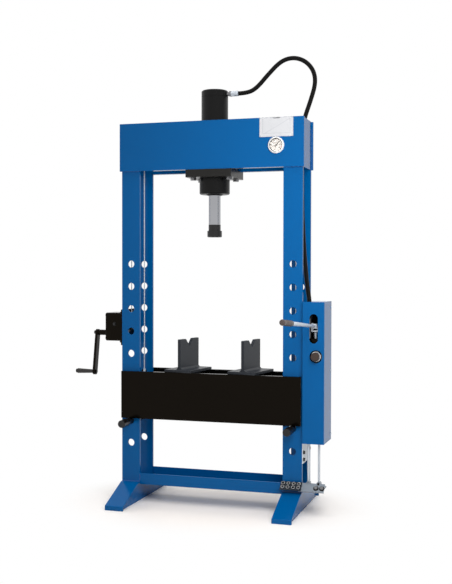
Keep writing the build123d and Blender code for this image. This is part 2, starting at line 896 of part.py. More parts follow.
def pump_cover():
    """A folded sheet box, open at its back and bottom, with its left wall on the bracket."""
    outer = span_box((pump_x, cover_end_x), (cover_front, cover_back), (cover_low, cover_high))
    front_edge = edges_along(outer, Axis.Z).filter_by(lambda edge: edge.center().Y < 0)
    outer = fillet(front_edge, cover_bend)
    inner = span_box(
        (pump_x + cover_sheet, cover_end_x - cover_sheet),
        (cover_front + cover_sheet, cover_back + cover_sheet),
        (cover_low - cut_overrun, cover_high - cover_sheet),
    )
    cover = outer - inner
    wall = (cover_front - cut_overrun, cover_front + cover_sheet + cut_overrun)
    slot_radius = lever_slot_width / 2
    ends = (lever_slot_low + slot_radius, lever_slot_high - slot_radius)
    cover -= span_box(around(lever_x, lever_slot_width), wall, ends)
    for height in ends:
        cover -= rod_y(slot_radius, wall, lever_x, height)
    cover -= rod_y(knob_hole_radius, wall, knob_x, knob_z)
    hose_x, hose_y = hose_route[-2][:2]
    roof = (cover_high - cover_sheet - cut_overrun, cover_high + cut_overrun)
    return cover - rod_z(hose_radius + hose_hole_clearance, roof, hose_x, hose_y)


def pump_block():
    """The valve block with two ears for the lever and bores for the plunger, valve stem and pull rod."""
    block = span_box((pump_inner_x, block_end_x), (block_front, block_back), (block_low, block_high))
    block = fillet(edges_along(block, Axis.Z), block_edge)
    for hand in (-1, 1):
        ear_x = around(lever_x + hand * (ear_gap + ear_thickness / 2), ear_thickness)
        ear_y = around(lever_pivot_y, 2 * ear_radius)
        block += span_box(ear_x, ear_y, (block_high, lever_pivot_z))
        block += rod_x(ear_radius, ear_x, lever_pivot_y, lever_pivot_z)
    ears = around(lever_x, 2 * (ear_gap + ear_thickness + cut_overrun))
    block -= rod_x(lever_pin_radius + running_clearance, ears, lever_pivot_y, lever_pivot_z)
    plunger_bore = (plunger_bore_low, block_high + cut_overrun)
    block -= rod_z(plunger_radius + running_clearance, plunger_bore, lever_x, plunger_y)
    stem_bore = (block_front - cut_overrun, block_front + knob_stem_depth)
    block -= rod_y(knob_stem_radius + running_clearance, stem_bore, knob_x, knob_z)
    pull_bore = (block_low - cut_overrun, pull_rod_bore_top)
    return block - rod_z(pull_rod_radius + running_clearance, pull_bore, pull_rod_x, pedal_rod_y)


def oil_tank():
    tank = span_box((pump_inner_x, tank_end_x), (tank_front, tank_back), (tank_low, block_low))
    return fillet(edges_along(tank, Axis.Z), tank_edge)


def pivot_pins():
    """The lever's pin in the block's ears and the pedal's pin in the hanger's eye."""
    lever_half = ear_gap + ear_thickness + lever_pin_overhang
    pedal_half = eye_thickness / 2 + pedal_lug_gap + pedal_lug_thickness + pedal_pin_overhang
    return [
        rod_x(lever_pin_radius, around(lever_x, 2 * lever_half), lever_pivot_y, lever_pivot_z),
        rod_y(pedal_pin_radius, around(pedal_rod_y, 2 * pedal_half), hanger_x, pedal_pivot_z),
    ]


def pump_outlet():
    """A pipe, union nut and ferrule that stand on the block and take the hose's end."""
    pipe = rod_z(outlet_pipe_radius, (block_high, outlet_nut_low), outlet_x, outlet_y)
    nut_top = outlet_nut_low + outlet_nut_height
    pipe += hex_z(outlet_nut_radius, (outlet_nut_low, nut_top), outlet_x, outlet_y)
    return pipe + rod_z(outlet_ferrule_radius, (nut_top, outlet_top), outlet_x, outlet_y)


def eye_rod(radius, x, top, bore):
    """A round rod with a flat eye at its lower end."""
    eye_y = around(pedal_rod_y, eye_thickness)
    rod = rod_z(radius, (pedal_pivot_z, top), x, pedal_rod_y) + rod_y(eye_radius, eye_y, x, pedal_pivot_z)
    return rod - rod_y(bore, (eye_y[0] - cut_overrun, eye_y[1] + cut_overrun), x, pedal_pivot_z)


def on_pedal(piece):
    """Slopes a piece that was drawn flat, with its lower edge along X at y = 0."""
    return Pos(0, pedal_front, pedal_low) * Rot(pedal_slope, 0, 0) * piece


def pedal_arm():
    """A sloped flat bar on a seat with lugs for the hanger and the pull rod."""
    arm = on_pedal(span_box((tread_x[1] - pedal_overlap, pedal_end_x), (0, pedal_width), (-pedal_plate, 0)))
    seat_x = (pull_rod_x - pedal_seat_margin, pedal_end_x)
    arm += span_box(seat_x, (pedal_seat_front, pedal_back), (pedal_plate_top - pedal_plate, pedal_plate_top))
    lug_offset = eye_thickness / 2 + pedal_lug_gap + pedal_lug_thickness / 2
    for x in (pull_rod_x, hanger_x):
        for end in (-1, 1):
            lug_y = around(pedal_rod_y + end * lug_offset, pedal_lug_thickness)
            arm += span_box(around(x, 2 * pedal_lug_radius), lug_y, (pedal_plate_top, pedal_pivot_z))
            arm += rod_y(pedal_lug_radius, lug_y, x, pedal_pivot_z)
    through = (pedal_front - cut_overrun, pedal_back + cut_overrun)
    arm -= rod_y(pedal_pin_radius + running_clearance, through, hanger_x, pedal_pivot_z)
    pin_y = around(pedal_rod_y, 2 * lug_offset + pedal_lug_thickness)
    return arm + rod_y(pull_pin_radius, pin_y, pull_rod_x, pedal_pivot_z)


def pedal_tread():
    """A thin plate on the arm's face, with rows of raised, open dimples."""
    plate = span_box(tread_x, (0, pedal_width), (0, tread_plate))
    middle_x, middle_y = sum(tread_x) / 2, pedal_width / 2
    through = (-cut_overrun, tread_plate + tread_rim_height + cut_overrun)
    for column in range(tread_columns):
        for row in range(tread_rows):
            x = middle_x + (column - (tread_columns - 1) / 2) * tread_pitch_x
            y = middle_y + (row - (tread_rows - 1) / 2) * tread_pitch_y
            rim = Cone(tread_rim_radius, tread_crown_radius, tread_rim_height)
            plate += Pos(x, y, tread_plate + tread_rim_height / 2) * rim
            plate -= rod_z(tread_hole_radius, through, x, y)
    return on_pedal(plate)


def on_lever(piece):
    """Tilts a piece that was drawn along -Y from the lever's pivot at the origin."""
    return Pos(lever_x, lever_pivot_y, lever_pivot_z) * Rot(-lever_tilt, 0, 0) * piece


def pump_lever():
    """A forged boss with the plunger's pin, and a rod that thickens outwards."""
    boss = span_box(
        around(0, lever_boss_width), (-lever_boss_end, lever_boss_back), around(0, lever_boss_height)
    )
    boss -= rod_x(lever_pin_radius + running_clearance, around(0, 2 * lever_boss_width), 0, 0)
    boss += rod_x(plunger_pin_radius, around(0, 2 * plunger_pin_half_length), -plunger_reach, 0)
    length = lever_end - lever_grip_round - lever_boss_end
    rod_length = lever_rod_end - lever_boss_end
    taper = Rot(90, 0, 0) * Cone(lever_rod_radius, lever_rod_end_radius, rod_length)
    boss += Pos(0, -lever_boss_end - rod_length / 2, 0) * taper
    boss += rod_y(lever_rod_radius, (-lever_boss_end - length, -lever_rod_end), 0, 0)
    return on_lever(boss)


def lever_grip():
    grip = rod_y(lever_grip_radius, (-lever_end, -lever_rod_end), 0, 0)
    grip = fillet(grip.edges().filter_by(GeomType.CIRCLE), lever_grip_round)
    bore_end = -lever_end + lever_grip_round - running_clearance
    bore = (bore_end, -lever_rod_end + cut_overrun)
    return on_lever(grip - rod_y(lever_rod_radius + running_clearance, bore, 0, 0))


def hand_plunger():
    """A plunger with a fork on top; the lever's pin runs in the fork's slots."""
    plunger = rod_z(plunger_radius, (plunger_low, fork_bridge_low), lever_x, plunger_y)
    middle_y = plunger_y + plunger_slot_travel / 2
    depth = around(middle_y, fork_depth)
    plunger += span_box(around(lever_x, 2 * fork_outer), depth, (fork_bridge_low, fork_bridge_high))
    slot_radius = plunger_pin_radius + plunger_slot_clearance
    slot_y = (plunger_y, plunger_y + plunger_slot_travel)
    for hand in (-1, 1):
        cheek_x = sorted((lever_x + hand * fork_inner, lever_x + hand * fork_outer))
        plunger += span_box(cheek_x, depth, (fork_bridge_high, fork_high))
    through = around(lever_x, 2 * (fork_outer + cut_overrun))
    plunger -= span_box(through, slot_y, around(plunger_pin_z, 2 * slot_radius))
    for y in slot_y:
        plunger -= rod_x(slot_radius, through, y, plunger_pin_z)
    return plunger


def release_knob():
    knob = rod_y(knob_radius, (knob_front, knob_front + knob_length), knob_x, knob_z)
    knob = fillet(knob.edges().filter_by(GeomType.CIRCLE), knob_round)
    stem_end = block_front + knob_stem_depth - cut_overrun
    return knob + rod_y(knob_stem_radius, (knob_front + knob_length, stem_end), knob_x, knob_z)


def gauge_case():
    """A round case with its bezel, turned as one piece, open at the front."""
    inner = gauge_radius - gauge_wall
    inner_back = gauge_back_radius - gauge_wall
    front, step, back = -gauge_bezel_height, head_plate, gauge_depth
    profile = Polygon(
        (0, back),
        (0, back - gauge_wall),
        (inner_back, back - gauge_wall),
        (inner_back, step - gauge_wall),
        (inner, step - gauge_wall),
        (inner, front),
        (gauge_bezel_radius - gauge_bezel_edge, front),
        (gauge_bezel_radius, front + gauge_bezel_edge),
        (gauge_bezel_radius, 0),
        (gauge_radius, 0),
        (gauge_radius, step),
        (gauge_back_radius, step),
        (gauge_back_radius, back),
        align=None,
    )
    return Pos(gauge_x, -head_face, gauge_z) * revolve(profile, Axis.Y)


def gauge_dial():
    """The dial on its movement, which stands on the case's back wall."""
    front = -head_face - gauge_bezel_height + dial_setback
    back = -head_face + gauge_depth - gauge_wall
    radius = gauge_radius - gauge_wall - running_clearance
    dial = rod_y(radius, (front, front + dial_thickness), gauge_x, gauge_z)
    dial += rod_y(movement_radius, (front + dial_thickness, back), gauge_x, gauge_z)
    bore = (front - cut_overrun, front + needle_spindle_length)
    return dial - rod_y(needle_spindle_radius + running_clearance, bore, gauge_x, gauge_z)


def gauge_glass():
    front = -head_face - gauge_bezel_height + glass_setback
    radius = gauge_radius - gauge_wall - running_clearance
    return rod_y(radius, (front, front + glass_thickness), gauge_x, gauge_z)


def gauge_needle():
    """A tapered pointer with a hub and a spindle that runs in the dial."""
    outline = Polygon(
        (-needle_width / 2, -needle_tail),
        (needle_width / 2, -needle_tail),
        (needle_tip_width / 2, needle_length),
        (-needle_tip_width / 2, needle_length),
        align=None,
    )
    pointer = extrude(Plane.XZ * outline, -needle_thickness)
    pointer += rod_y(needle_hub_radius, (0, needle_thickness), 0, 0)
    pointer += rod_y(needle_spindle_radius, (0, needle_spindle_length), 0, 0)
    front = -head_face - gauge_bezel_height + needle_setback
    return Pos(gauge_x, front, gauge_z) * Rot(0, needle_angle, 0) * pointer


def chart_plate():
    y_span = (-head_face - chart_thickness, -head_face)
    return span_box(chart_x, y_span, (chart_low, head_top))


def hose():
    """A round hose along runs joined by arcs as large as the runs allow."""
    points = [Vector(*point) for point in hose_route]
    radii = []
    for before, corner, after in zip(points, points[1:], points[2:]):
        turn = math.radians((corner - before).get_angle(after - corner))
        shorter = min((corner - before).length, (after - corner).length)
        radii.append(hose_run_share * shorter / math.tan(turn / 2))
    path = FilletPolyline(*points, radius=radii).wire()
    body = tube_along(path, hose_radius)
    print("hose radii", [round(radius) for radius in radii])
    plain_volume = path.length * math.pi * hose_radius**2
    print("hose length", round(path.length), "volume share", body.volume / plain_volume)
    return body


upper_clamp_low = ledge_top + seat_clearance
upper_clamp_top = upper_clamp_low + upper_clamp_thickness
upper_clamp_width = 2 * (post_face - upper_clamp_gap)
lower_clamp_span = (barrel_bottom, barrel_bottom + clamp_thickness)

pieces = {
    "left_front_post": post(-1, -1),
    "left_rear_post": post(-1, 1),
    "right_front_post": post(1, -1),
    "right_rear_post": post(1, 1),
    "left_foot": foot(-1),
    "right_foot": foot(1),
    "base_channel": base_channel(),
    "head_front_plate": head_plate_piece(-1),
    "head_rear_plate": head_plate_piece(1),
    "head_end_plates": head_end_plates(),
    "sheave_axles": [
        sheave_axle(left_sheave_x, (0, right_rope_y)),
        sheave_axle(right_sheave_x, (right_rope_y,)),
    ],
    "cylinder_barrel": barrel(),
    "cylinder_cap": cylinder_cap(),
    "cylinder_gland": cylinder_gland(),
    "carriage_lower_plate": clamp_plate(clamp_length, clamp_width, lower_clamp_span),
    "carriage_upper_plate": clamp_plate(
        upper_clamp_length, upper_clamp_width, (upper_clamp_low, upper_clamp_top)
    ),
    "carriage_bolts": clamp_bolts(upper_clamp_top),
    "hose_adapter": hose_adapter(),
    "hose_ferrule": hose_ferrule(),
    "ram_rod": rod_z(ram_radius, (ram_end, piston_bottom), carriage_x, 0),
    "ram_piston": rod_z(
        barrel_bore - running_clearance, (piston_bottom, piston_bottom + piston_height), carriage_x, 0
    ),
    "ram_nose": ram_nose(),
    "table_front_plate": table_plate_piece(-1),
    "table_rear_plate": table_plate_piece(1),
    "table_spacers": [
        table_spacer(-1, left_rope_x, 0),
        table_spacer(1, right_rope_x, right_rope_y),
    ],
    "left_v_block": v_block(v_upright_x[0]),
    "right_v_block": v_block(v_upright_x[1]),
    "left_table_pin": table_pin(-1),
    "right_table_pin": table_pin(1),
    "left_sheaves": [sheave(left_sheave_x, 0), sheave(left_sheave_x, right_rope_y)],
    "right_sheave": sheave(right_sheave_x, right_rope_y),
    "lift_ropes": [left_rope_run(), right_rope_run()],
    "rope_drops": rope_drops(),
    "winch_plate": winch_plate(),
    "winch_housing": winch_housing(),
    "rope_drum": rope_drum(),
    "crank_shaft": crank_shaft(),
    "crank_arm": crank_arm(),
    "crank_grip": crank_grip(),
    "pump_bracket": pump_bracket(),
    "pump_cover": pump_cover(),
    "pump_block": pump_block(),
    "oil_tank": oil_tank(),
    "pivot_pins": pivot_pins(),
    "pump_outlet": pump_outlet(),
    "hanger_rod": eye_rod(hanger_radius, hanger_x, block_low, pedal_pin_radius + running_clearance),
    "pull_rod": eye_rod(pull_rod_radius, pull_rod_x, pull_rod_top, pull_pin_radius + pull_eye_clearance),
    "pedal_arm": pedal_arm(),
    "pedal_tread": pedal_tread(),
    "pump_lever": pump_lever(),
    "lever_grip": lever_grip(),
    "hand_plunger": hand_plunger(),
    "release_knob": release_knob(),
    "gauge_case": gauge_case(),
    "gauge_dial": gauge_dial(),
    "gauge_glass": gauge_glass(),
    "gauge_needle": gauge_needle(),
    "chart_plate": chart_plate(),
    "hydraulic_hose": hose(),
}

os.makedirs("parts", exist_ok=True)
for name, piece in pieces.items():
    solids = piece if isinstance(piece, list) else [piece]
    body = Compound(children=[solid for item in solids for solid in item.solids()])
    export_step(body, f"parts/{name}.step")
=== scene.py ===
import math
import random

import bmesh
import bpy
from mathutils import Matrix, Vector


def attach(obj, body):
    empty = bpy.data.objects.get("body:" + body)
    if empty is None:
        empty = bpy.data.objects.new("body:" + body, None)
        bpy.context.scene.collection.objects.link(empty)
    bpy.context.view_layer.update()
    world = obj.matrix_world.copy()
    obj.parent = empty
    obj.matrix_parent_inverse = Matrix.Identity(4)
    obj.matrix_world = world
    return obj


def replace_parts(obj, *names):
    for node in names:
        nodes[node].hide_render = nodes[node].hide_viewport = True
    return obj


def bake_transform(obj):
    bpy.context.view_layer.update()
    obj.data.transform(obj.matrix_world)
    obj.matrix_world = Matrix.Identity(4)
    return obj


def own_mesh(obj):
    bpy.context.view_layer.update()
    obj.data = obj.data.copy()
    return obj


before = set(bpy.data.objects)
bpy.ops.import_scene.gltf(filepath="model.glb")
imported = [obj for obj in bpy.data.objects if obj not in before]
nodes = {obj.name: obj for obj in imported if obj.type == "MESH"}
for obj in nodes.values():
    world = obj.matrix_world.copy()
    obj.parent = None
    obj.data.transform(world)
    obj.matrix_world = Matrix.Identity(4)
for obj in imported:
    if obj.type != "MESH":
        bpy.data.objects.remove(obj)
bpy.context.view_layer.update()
mm = 0.001
to_front, to_left, to_right, upward = (0, -1, 0), (-1, 0, 0), (1, 0, 0), (0, 0, 1)


# Materials

tint_detail = 5
grain_detail = 3
grain_depth = 0.0002
lowest_rough = 0.02
glass_ior = 1.1


def srgb(red, green, blue):
    """A linear colour from display values of 0 to 255."""

    def channel(value):
        value /= 255
        return value / 12.92 if value <= 0.04045 else ((value + 0.055) / 1.055) ** 2.4

    return (channel(red), channel(green), channel(blue), 1)


def surface(
    name,
    colour,
    shade,
    rough,
    spread,
    metallic=0.0,
    specular=0.5,
    tint_scale=6.0,
    grain_scale=900.0,
    grain=(1, 1, 1),
    bump=0.05,
):
    """A finish whose colour drifts, whose gloss varies and whose skin has a fine grain."""
    material = bpy.data.materials.new(name)
    material.use_nodes = True
    tree = material.node_tree
    shader = tree.nodes["Principled BSDF"]
    shader.inputs["Metallic"].default_value = metallic
    shader.inputs["Specular IOR Level"].default_value = specular
    place = tree.nodes.new("ShaderNodeTexCoord")
    tint = tree.nodes.new("ShaderNodeTexNoise")
    tint.inputs["Scale"].default_value = tint_scale
    tint.inputs["Detail"].default_value = tint_detail
    tree.links.new(place.outputs["Object"], tint.inputs["Vector"])
    mix = tree.nodes.new("ShaderNodeMix")
    mix.data_type = "RGBA"
    mix.inputs["A"].default_value = colour
    mix.inputs["B"].default_value = shade
    tree.links.new(tint.outputs["Fac"], mix.inputs["Factor"])
    tree.links.new(mix.outputs["Result"], shader.inputs["Base Color"])
    stretch = tree.nodes.new("ShaderNodeMapping")
    stretch.inputs["Scale"].default_value = grain
    tree.links.new(place.outputs["Object"], stretch.inputs["Vector"])
    fine = tree.nodes.new("ShaderNodeTexNoise")
    fine.inputs["Scale"].default_value = grain_scale
    fine.inputs["Detail"].default_value = grain_detail
    tree.links.new(stretch.outputs["Vector"], fine.inputs["Vector"])
    gloss = tree.nodes.new("ShaderNodeMapRange")
    gloss.inputs["To Min"].default_value = max(rough - spread, lowest_rough)
    gloss.inputs["To Max"].default_value = rough + spread
    tree.links.new(fine.outputs["Fac"], gloss.inputs["Value"])
    tree.links.new(gloss.outputs["Result"], shader.inputs["Roughness"])
    skin = tree.nodes.new("ShaderNodeBump")
    skin.inputs["Strength"].default_value = bump
    skin.inputs["Distance"].default_value = grain_depth
    tree.links.new(fine.outputs["Fac"], skin.inputs["Height"])
    tree.links.new(skin.outputs["Normal"], shader.inputs["Normal"])
    return material


def clear_glass(name):
    """Thin clear glass that bends little light, so that the dial stays plain to see."""
    material = surface(name, (1, 1, 1, 1), (0.97, 0.98, 0.98, 1), 0.03, 0.02, bump=0.0)
    shader = material.node_tree.nodes["Principled BSDF"]
    shader.inputs["Transmission Weight"].default_value = 1.0
    shader.inputs["IOR"].default_value = glass_ior
    return material


blue = surface(
    "blue_paint", srgb(0, 88, 150), srgb(0, 83, 143), 0.15, 0.04, specular=0.12, grain_scale=420, bump=0.04
)
black_satin = surface("black_satin", srgb(2, 2, 1), srgb(5, 4, 3), 0.16, 0.04, specular=0.10, bump=0.05)
black_satin.node_tree.nodes["Principled BSDF"].inputs["Specular Tint"].default_value = (1, 0.80, 0.62, 1)
black_gloss = surface("black_gloss", srgb(5, 5, 5), srgb(8, 8, 8), 0.34, 0.05, specular=0.18, bump=0.04)
slate = surface("slate_paint", srgb(40, 43, 48), srgb(48, 51, 56), 0.36, 0.08, specular=0.12, bump=0.12)
clamp_grey = surface("clamp_paint", srgb(30, 30, 29), srgb(38, 37, 36), 0.28, 0.08, specular=0.12, bump=0.1)
chrome = surface(
    "hard_chrome", srgb(172, 173, 177), srgb(155, 156, 160), 0.10, 0.03, 1.0, grain_scale=60, grain=(1, 1, 40)
)
zinc = surface(
    "zinc_plate", srgb(204, 211, 219), srgb(184, 191, 199), 0.36, 0.10, 0.35, tint_scale=30, bump=0.15
)
tread_zinc = surface(
    "pedal_zinc", srgb(146, 155, 165), srgb(126, 135, 145), 0.38, 0.1, 0.5, tint_scale=30, bump=0.15
)
# The tread's steel, darker than the arm's zinc: painted shade standing in for the shadow in the tread's
# holes.
dark_tread_painted_shade = surface(
    "pedal_tread_painted_shade", srgb(46, 54, 62), srgb(30, 36, 42), 0.35, 0.1, 0.4, tint_scale=30, bump=0.15
)
steel = surface("machined_steel", srgb(150, 150, 152), srgb(118, 118, 120), 0.30, 0.08, 0.9, bump=0.1)
oxide = surface("black_oxide", srgb(12, 12, 13), srgb(20, 19, 19), 0.34, 0.08, 0.2, bump=0.1)
iron = surface("dark_iron", srgb(42, 42, 44), srgb(32, 32, 33), 0.5, 0.1, 0.4, bump=0.2)
wire = surface(
    "wire_rope", srgb(204, 209, 216), srgb(176, 181, 188), 0.4, 0.1, 0.3, grain_scale=1500, bump=0.2
)
rubber = surface("hose_rubber", srgb(10, 9, 9), srgb(16, 15, 14), 0.36, 0.08, specular=0.10, bump=0.3)
grip_black = surface("grip_plastic", srgb(24, 21, 20), srgb(32, 28, 26), 0.35, 0.08, bump=0.15)
grip_brown = surface("lever_grip_plastic", srgb(66, 56, 52), srgb(54, 45, 42), 0.38, 0.08, bump=0.15)
knob_brown = surface("knob_plastic", srgb(52, 36, 27), srgb(40, 27, 20), 0.30, 0.06, bump=0.1)
dial_cream = surface("dial_face", srgb(200, 193, 187), srgb(190, 183, 176), 0.55, 0.05, bump=0.02)
# Dark grey for the painted shade ring inside the gauge bezel, and for the printed bar on the chart.
shade_and_print_grey = surface("dial_shade_and_print", srgb(58, 56, 55), srgb(46, 45, 44), 0.5, 0.05, bump=0.02)
ink = surface("dial_ink", srgb(26, 25, 25), srgb(36, 34, 34), 0.6, 0.05, bump=0.02)
red_ink = surface("red_ink", srgb(178, 34, 30), srgb(160, 28, 26), 0.6, 0.05, bump=0.02)
bezel_white = surface("bezel_metal", srgb(236, 236, 236), srgb(222, 222, 222), 0.3, 0.06, 0.3, bump=0.05)
chart_white = surface("chart_white", srgb(199, 200, 203), srgb(192, 193, 196), 0.45, 0.05, bump=0.03)
chart_grey = surface("chart_grey", srgb(178, 181, 186), srgb(168, 171, 176), 0.5, 0.05, bump=0.03)
glass = clear_glass("clear_glass")
blue_weld = surface(
    "painted_weld", srgb(0, 80, 150), srgb(0, 72, 138), 0.34, 0.08, grain_scale=300, bump=0.25
)

finish_of = {
    blue: (
        "left_front_post left_rear_post right_front_post right_rear_post left_foot right_foot base_channel "
        "head_front_plate head_rear_plate head_end_plates pump_cover"
    ),
    black_satin: (
        "table_front_plate table_rear_plate table_spacers winch_housing winch_plate pump_block oil_tank "
        "crank_arm crank_shaft carriage_upper_plate"
    ),
    black_gloss: "cylinder_barrel cylinder_cap cylinder_gland",
    slate: "left_v_block right_v_block",
    clamp_grey: "carriage_lower_plate",
    chrome: "ram_rod ram_piston",
    zinc: "pump_bracket hanger_rod pull_rod pump_lever hand_plunger hose_ferrule",
    steel: "sheave_axles pump_outlet hose_adapter carriage_bolts",
    tread_zinc: "pedal_arm",
    dark_tread_painted_shade: "pedal_tread",
    oxide: "ram_nose left_table_pin right_table_pin pivot_pins",
    iron: "left_sheaves right_sheave rope_drum",
    wire: "lift_ropes rope_drops",
    rubber: "hydraulic_hose",
    grip_black: "crank_grip",
    grip_brown: "lever_grip",
    knob_brown: "release_knob",
    dial_cream: "gauge_dial",
    bezel_white: "gauge_case",
    ink: "gauge_needle",
    glass: "gauge_glass",
    chart_white: "chart_plate",
}
for material, names in finish_of.items():
    for name in names.split():
        nodes[name].data.materials.clear()
        nodes[name].data.materials.append(material)


# Mesh pieces

hexagon_turn = 0.3
weld_sides = 10


def basis(axis):
    """The turn that brings the Z axis to an axis."""
    return Vector(axis).to_track_quat("Z", "Y").to_matrix()


class Piece:
    """Mesh parts, in metres, gathered into one object that rides a body."""

    def __init__(self, name, material, body, slot):
        self.name, self.material, self.body, self.slot = name, material, body, slot
        self.mesh = bmesh.new()

    def loft(self, rings, closed=False):
        """A skin over rings of points, closed into a loop or with caps on its ends."""
        rows = [[self.mesh.verts.new(point) for point in ring] for ring in rings]
        pairs = list(zip(rows, rows[1:])) + ([(rows[-1], rows[0])] if closed else [])
        count = len(rows[0])
        for first, second in pairs:
            for i in range(count):
                j = (i + 1) % count
                self.mesh.faces.new((first[i], first[j], second[j], second[i]))
        if not closed:
            self.mesh.faces.new(rows[0][::-1])
            self.mesh.faces.new(rows[-1])

    def lathe(self, profile, at, axis=(0, 0, 1), sides=32, closed=False, turn=0.0):
        """Turns (radius, height) points round an axis through a point."""
        spin = basis(axis)
        angles = [turn + 2 * math.pi * i / sides for i in range(sides)]
        rings = [
            [Vector(at) + spin @ Vector((r * math.cos(a), r * math.sin(a), h)) for a in angles]
            for r, h in profile
        ]
        self.loft(rings, closed)

    def box(self, low, high):
        for vert in bmesh.ops.create_cube(self.mesh, size=1)["verts"]:
            vert.co = Vector([low[i] if vert.co[i] < 0 else high[i] for i in range(3)])

    def bolt(self, at, axis, radius, height, washer=True):
        """A hexagon head with a chamfered crown, on a washer if asked."""
        base = Vector(at)
        lift = Vector(axis).normalized()
        if washer:
            thick, inner, outer = height * 0.22, radius * 0.5, radius * 1.22
            self.lathe([(inner, 0), (outer, 0), (outer, thick), (inner, thick)], base, axis, 32, closed=True)
            base = base + lift * thick
        crown = [(radius, 0), (radius, height * 0.8), (radius * 0.9, height), (radius * 0.86, height)]
        self.lathe(crown, base, axis, 6, turn=hexagon_turn)

    def screw(self, at, axis, radius, height):
        """A round socket-head screw with a round recess."""
        head = [
            (radius * 0.5, height * 0.45),
            (radius * 0.5, height),
            (radius * 0.88, height),
            (radius, height * 0.85),
            (radius, 0),
        ]
        self.lathe(head, at, axis, 24)

    def tube(self, points, radius, sides, lay, lobes=0, swell=0.0):
        """A bar along points, with a rope's strands as lobes or a hose's swell; lay is one turn's length."""
        tangents = []
        for i, point in enumerate(points):
            ahead = points[min(i + 1, len(points) - 1)] - points[max(i - 1, 0)]
            tangents.append(ahead.normalized())
        side = tangents[0].orthogonal().normalized()
        rings, along = [], 0.0
        for i, (point, tangent) in enumerate(zip(points, tangents)):
            if i:
                along += (point - points[i - 1]).length
                side = (side - tangent * side.dot(tangent)).normalized()
            other = tangent.cross(side)
            ring = []
            for k in range(sides):
                angle = 2 * math.pi * k / sides
                reach = radius
                if lobes:
                    strand = angle - 2 * math.pi * along / lay
                    reach *= 0.80 + 0.20 * abs(math.cos(lobes * strand / 2))
                else:
                    reach *= 1 + swell * math.sin(2 * math.pi * along / lay)
                ring.append(point + side * (reach * math.cos(angle)) + other * (reach * math.sin(angle)))
            rings.append(ring)
        self.loft(rings)

    def stroke(self, start, end, width, depth=0.0002):
        """A thin printed line on a surface that faces the front."""
        start, end = Vector(start), Vector(end)
        side = (end - start).cross(Vector((0, 1, 0))).normalized() * (width / 2)
        proud = Vector((0, -depth, 0))
        self.loft([[p + side, p - side, p - side + proud, p + side + proud] for p in (start, end)])

    def figures(self, words, at, size, depth=0.0001):
        """Flat figures on a surface that faces the front."""
        data = bpy.data.curves.new("figures", "FONT")
        data.body, data.size, data.extrude = words, size, depth
        data.align_x, data.align_y = "CENTER", "CENTER"
        holder = bpy.data.objects.new("figures", data)
        bpy.context.scene.collection.objects.link(holder)
        bpy.context.view_layer.update()
        mesh = bpy.data.meshes.new_from_object(holder)
        made = [self.mesh.verts.new(Vector(at) + Vector((v.co.x, -v.co.z, v.co.y))) for v in mesh.vertices]
        for face in mesh.polygons:
            self.mesh.faces.new([made[i] for i in face.vertices])
        bpy.data.objects.remove(holder)
        bpy.data.curves.remove(data)
        bpy.data.meshes.remove(mesh)

    def weld(self, start, end, radius, seed):
        """A weld bead with uneven ripples."""
        start, end = Vector(start), Vector(end)
        draw = random.Random(seed)
        count = max(int((end - start).length / (radius * 0.8)), 4)
        points = [start.lerp(end, i / count) for i in range(count + 1)]
        tangent = (end - start).normalized()
        side = tangent.orthogonal().normalized()
        other = tangent.cross(side)
        angles = [2 * math.pi * k / weld_sides for k in range(weld_sides)]
        rings = []
        for i, point in enumerate(points):
            reach = radius * (0.86 + 0.1 * (i % 2) + 0.08 * draw.random())
            if i in (0, count):
                reach *= 0.5
            rings.append([point + (side * math.cos(a) + other * math.sin(a)) * reach for a in angles])
        self.loft(rings)

    def done(self, sharp=35):
        """The finished object, smooth but for edges past an angle."""
        bmesh.ops.recalc_face_normals(self.mesh, faces=self.mesh.faces)
        for face in self.mesh.faces:
            face.smooth = True
        for edge in self.mesh.edges:
            edge.smooth = len(edge.link_faces) == 2 and edge.calc_face_angle() < math.radians(sharp)
        data = bpy.data.meshes.new(self.name)
        self.mesh.to_mesh(data)
        self.mesh.free()
        data.materials.append(self.material)
        made = bpy.data.objects.new(self.name, data)
        bpy.context.scene.collection.objects.link(made)
        if self.body:
            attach(made, self.body)
        return made


def spline_points(route, weights=None, resolution=14):
    """Points read from a smooth NURBS spline with the route's points as its control points."""
    data = bpy.data.curves.new("route", "CURVE")
    data.dimensions = "3D"
    spline = data.splines.new("NURBS")
    spline.points.add(len(route) - 1)
    for i, point in enumerate(route):
        spline.points[i].co = (*point, weights[i] if weights else 1.0)
    spline.order_u = 3
    spline.use_endpoint_u = True
    spline.use_bezier_u = weights is not None
    spline.resolution_u = resolution
    holder = bpy.data.objects.new("route", data)
    bpy.context.scene.collection.objects.link(holder)
    bpy.context.view_layer.update()
    mesh = bpy.data.meshes.new_from_object(holder)
    points = [vert.co.copy() for vert in mesh.vertices]
    bpy.data.objects.remove(holder)
    bpy.data.curves.remove(data)
    bpy.data.meshes.remove(mesh)
    return points


def even_points(points, step):
    """The same line with points at even steps."""
    lengths = [0.0]
    for first, second in zip(points, points[1:]):
        lengths.append(lengths[-1] + (second - first).length)
    count = max(int(lengths[-1] / step), 2)
    found, i = [], 0
    for k in range(count + 1):
        target = lengths[-1] * k / count
        while i < len(points) - 2 and lengths[i + 1] < target:
            i += 1
        span = max(lengths[i + 1] - lengths[i], 1e-9)
        found.append(points[i].lerp(points[i + 1], min(max((target - lengths[i]) / span, 0), 1)))
    return found


# Camera

camera_tilt, camera_roll, camera_pan = 90 - 1.23, -0.1, 17.154
camera_data = bpy.data.cameras.new("camera")
camera_data.sensor_width = 36
camera_data.lens = 59.67
camera = bpy.data.objects.new("camera", camera_data)
camera.location = (1.3120, -4.0946, 1.0326)
camera.rotation_euler = [math.radians(turn) for turn in (camera_tilt, camera_roll, camera_pan)]
bpy.context.scene.collection.objects.link(camera)
bpy.context.scene.camera = camera

# Hose

